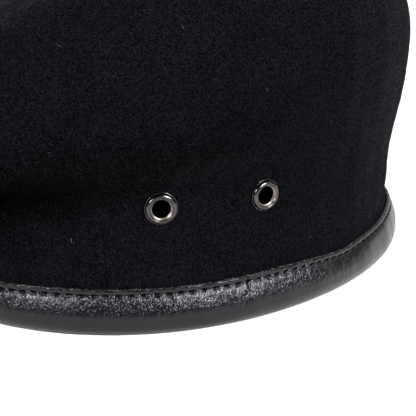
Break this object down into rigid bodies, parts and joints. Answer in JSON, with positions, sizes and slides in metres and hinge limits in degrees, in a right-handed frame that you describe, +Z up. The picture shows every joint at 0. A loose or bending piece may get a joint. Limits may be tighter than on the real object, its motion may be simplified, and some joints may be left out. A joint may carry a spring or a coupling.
{
  "type": "military beret",
  "caption": "Black wool felt beret with a leather-bound head opening, a crown draped to one side and metal vent eyelets in its wall.",
  "frame": {"origin": "on the surface that the beret stands on, under the middle of its bounding box", "axes": "+Z up out of the crown, -Y towards the side with the vent eyelets, -X towards the draped side of the crown"},
  "size_m": [0.2193, 0.2246, 0.1119],
  "materials": {
    "felt": "dense black wool felt with a short matted nap",
    "leather": "black semi-gloss sheep leather, finely creased along the stitch line",
    "eyelet_metal": "polished dark nickel plate"
  },
  "bodies": {
    "root": {"crown": "felt", "leather_binding": "leather", "eyelet_1": "eyelet_metal", "eyelet_2": "eyelet_metal", "washer_1": "eyelet_metal", "washer_2": "eyelet_metal"}
  },
  "joints": []
}
